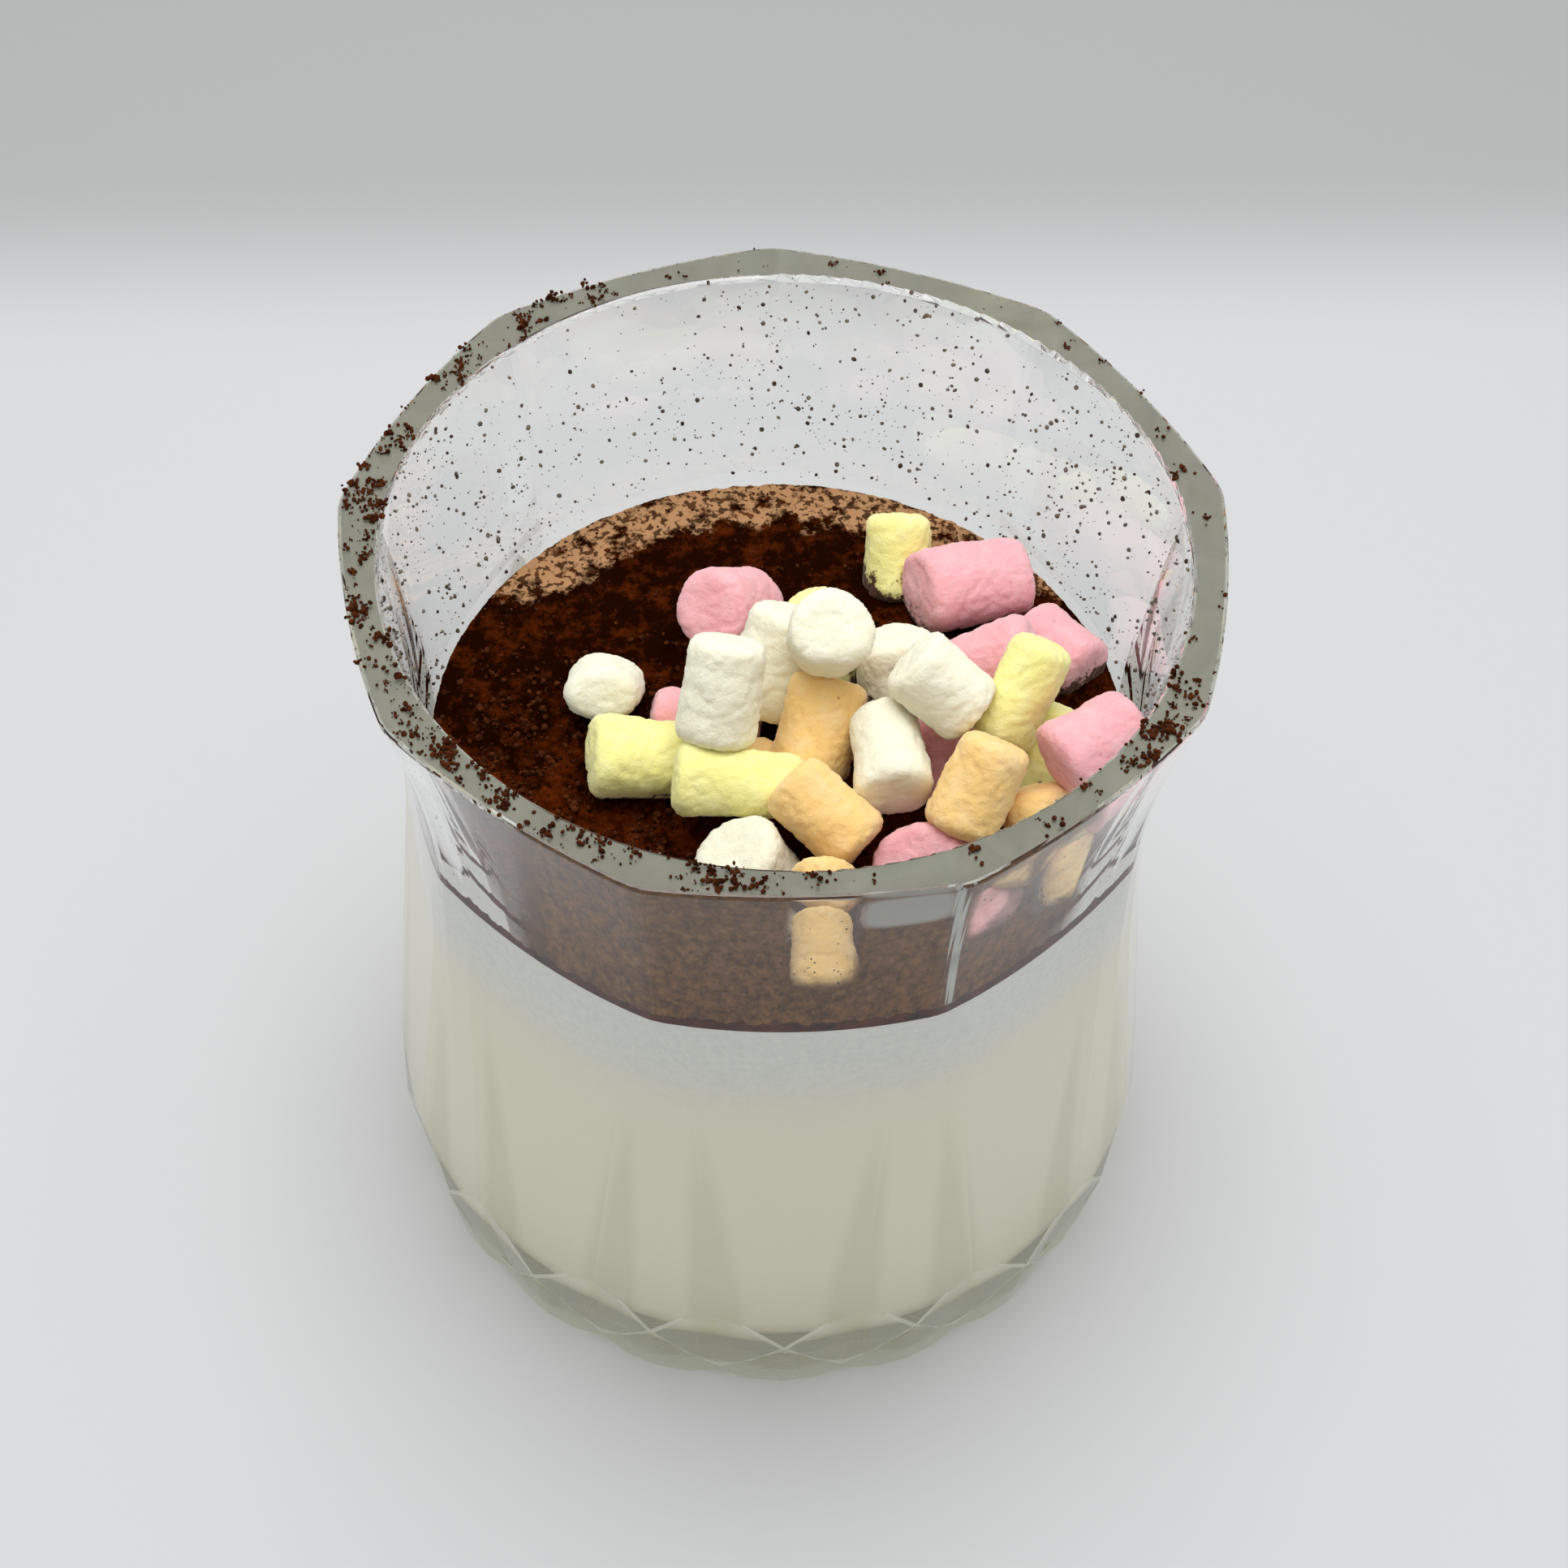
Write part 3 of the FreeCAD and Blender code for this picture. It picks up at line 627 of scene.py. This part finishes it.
def marshmallow_material(colour_name, colour):
    """Matt sugar skin in one colour, paler where the starch lies thick."""
    material, output = new_material("marshmallow_" + colour_name)
    place = add_node(material, "ShaderNodeTexCoord")
    starch = add_node(material, "ShaderNodeTexNoise", Vector=place.outputs["Object"], Scale=420.0,
                      Detail=4.0, Roughness=0.6)
    dusting = add_node(material, "ShaderNodeMapRange", _0=starch.outputs["Fac"], _1=0.45, _2=0.85,
                       _3=0.0, _4=0.5)
    pale = tuple(1 - (1 - channel) * 0.55 for channel in colour[:3]) + (1,)
    tone = add_node(material, "ShaderNodeMix", {"data_type": "RGBA"}, _0=dusting.outputs[0], _6=colour,
                    _7=pale)
    spot = add_node(material, "ShaderNodeSeparateXYZ", _0=place.outputs["Object"])
    low = add_node(material, "ShaderNodeMapRange", {"interpolation_type": "SMOOTHSTEP"},
                   _0=spot.outputs["Z"], _1=drink_level + 0.0035, _2=drink_level - 0.0005, _3=0.0, _4=0.36)
    smears = add_node(material, "ShaderNodeTexNoise", Vector=place.outputs["Object"], Scale=620.0,
                      Detail=4.0, Roughness=0.7)
    smeared = add_node(material, "ShaderNodeMath", {"operation": "ADD"}, _0=smears.outputs["Fac"],
                       _1=low.outputs[0])
    stain = add_node(material, "ShaderNodeMapRange", _0=smeared.outputs[0], _1=0.70, _2=0.80)
    stained = add_node(material, "ShaderNodeMix", {"data_type": "RGBA"}, _0=stain.outputs[0],
                       _6=tone.outputs[2], _7=(0.075, 0.026, 0.010, 1))
    fuzz = add_node(material, "ShaderNodeTexNoise", Vector=place.outputs["Object"], Scale=1900.0,
                    Detail=5.0, Roughness=0.7)
    bump = add_node(material, "ShaderNodeBump", Height=fuzz.outputs["Fac"], Distance=0.00018)
    shader = add_node(material, "ShaderNodeBsdfPrincipled", Base_Color=stained.outputs[2], Roughness=0.92,
                      Subsurface_Weight=0.35, Subsurface_Scale=0.0012, Sheen_Weight=0.15,
                      Normal=bump.outputs[0])
    shader.inputs["Specular IOR Level"].default_value = 0.2
    shader.inputs["Subsurface Radius"].default_value = (1.0, 0.75, 0.6)
    material.node_tree.links.new(shader.outputs[0], output.inputs["Surface"])
    return material


marshmallow_skins = {name: marshmallow_material(name, value) for name, value in marshmallow_colours.items()}
marshmallow_nodes = sorted(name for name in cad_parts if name.startswith("marshmallow_"))


def even_skin(bm, name):
    """The bmesh of a solid, with its skin divided into even squares."""
    mesh = bpy.data.meshes.new(name)
    bm.to_mesh(mesh)
    bm.free()
    rough = bpy.data.objects.new(name, mesh)
    bpy.context.scene.collection.objects.link(rough)
    remesh = rough.modifiers.new("squares", "REMESH")
    remesh.mode = "VOXEL"
    remesh.voxel_size = skin_voxel
    even = bpy.data.meshes.new_from_object(rough.evaluated_get(bpy.context.evaluated_depsgraph_get()))
    bpy.data.objects.remove(rough)
    result = bmesh.new()
    result.from_mesh(even)
    bpy.data.meshes.remove(even)
    return result


for number, name in enumerate(marshmallow_nodes, 1):
    colour_name = name.split("_")[-1]
    bm = even_skin(node_copy(name), name + "_rough")
    bmesh.ops.smooth_vert(bm, verts=bm.verts, factor=0.5, use_axis_x=True, use_axis_y=True,
                          use_axis_z=True)
    bm.normal_update()
    chance = random.Random(number)
    offset = Vector([chance.uniform(-50, 50) for _ in range(3)])
    moves = []
    for vert in bm.verts:
        spot = vert.co + offset
        dents = 0.00030 * noise.noise(spot * 240)
        wrinkles = -0.00013 * max(0.0, 0.22 - abs(noise.noise(spot * 480))) / 0.22
        fuzz = 0.00005 * chance.uniform(-1, 1) + 0.00007 * noise.noise(spot * 1500)
        moves.append(vert.normal * (dents + wrinkles + fuzz + 0.0001))
    for vert, move in zip(bm.verts, moves):
        vert.co += move
    piece = finished(bm, name + "_soft", marshmallow_skins[colour_name])
    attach(piece, "root")
    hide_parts(name)


# ---- Stage, light and camera ----
# A pale table top with painted shade that darkens it softly at the back, a large soft lamp overhead and a
# bright room.
floor_paint, output = new_material("pale_floor")
place = add_node(floor_paint, "ShaderNodeTexCoord")
spot = add_node(floor_paint, "ShaderNodeSeparateXYZ", _0=place.outputs["Object"])
painted_back_shade = add_node(floor_paint, "ShaderNodeMapRange", {"interpolation_type": "SMOOTHERSTEP"},
                      _0=spot.outputs["Y"], _1=0.115, _2=0.165)
floor_tone = add_node(floor_paint, "ShaderNodeMix", {"data_type": "RGBA"}, _0=painted_back_shade.outputs[0],
                      _6=(0.56, 0.563, 0.57, 1), _7=(0.375, 0.378, 0.375, 1))
floor_shader = add_node(floor_paint, "ShaderNodeBsdfPrincipled", Base_Color=floor_tone.outputs[2],
                        Roughness=0.6)
floor_paint.node_tree.links.new(floor_shader.outputs[0], output.inputs["Surface"])
bm = bmesh.new()
bmesh.ops.create_grid(bm, x_segments=1, y_segments=1, size=2.0)
floor = finished(bm, "floor", floor_paint)

world = bpy.data.worlds.new("bright_room")
bpy.context.scene.world = world
world.use_nodes = True
world.node_tree.nodes["Background"].inputs["Color"].default_value = (0.97, 0.98, 1.0, 1)
world.node_tree.nodes["Background"].inputs["Strength"].default_value = 0.69

lamp_data = bpy.data.lights.new("overhead_softbox", "AREA")
lamp_data.shape = "RECTANGLE"
lamp_data.size = 0.50
lamp_data.size_y = 0.40
lamp_data.energy = 3.0
lamp = bpy.data.objects.new("overhead_softbox", lamp_data)
lamp.location = (0.0, 0.06, 0.65)
lamp.rotation_euler = (Vector((0, 0, 0.05)) - lamp.location).to_track_quat("-Z", "Y").to_euler()
bpy.context.scene.collection.objects.link(lamp)

camera_azimuth = math.radians(-4.0)
camera_elevation = math.radians(50.04)
camera_roll = math.radians(2.16)
camera_distance = 0.32065
camera_right = 0.0006
camera_down = 0.0220
back = Vector((math.sin(camera_azimuth) * math.cos(camera_elevation),
               -math.cos(camera_azimuth) * math.cos(camera_elevation), math.sin(camera_elevation)))
right = Vector((math.cos(camera_azimuth), math.sin(camera_azimuth), 0))
up = back.cross(right)
rim_centre = Vector((0, 0, cad_box[1].z))
place = rim_centre + back * camera_distance + right * camera_right - up * camera_down
rolled_right = right * math.cos(camera_roll) + up * math.sin(camera_roll)
rolled_up = up * math.cos(camera_roll) - right * math.sin(camera_roll)
camera_data = bpy.data.cameras.new("camera")
camera_data.lens = 78.26
camera_data.sensor_width = 36.0
camera_data.clip_start = 0.01
camera = bpy.data.objects.new("camera", camera_data)
turn = Matrix((rolled_right, rolled_up, back)).transposed()
camera.matrix_world = Matrix.Translation(place) @ turn.to_4x4()
bpy.context.scene.collection.objects.link(camera)
bpy.context.scene.camera = camera
bpy.context.scene.view_settings.view_transform = "Standard"
bpy.context.scene.cycles.max_bounces = 32
bpy.context.scene.cycles.transmission_bounces = 32
bpy.context.scene.cycles.glossy_bounces = 16
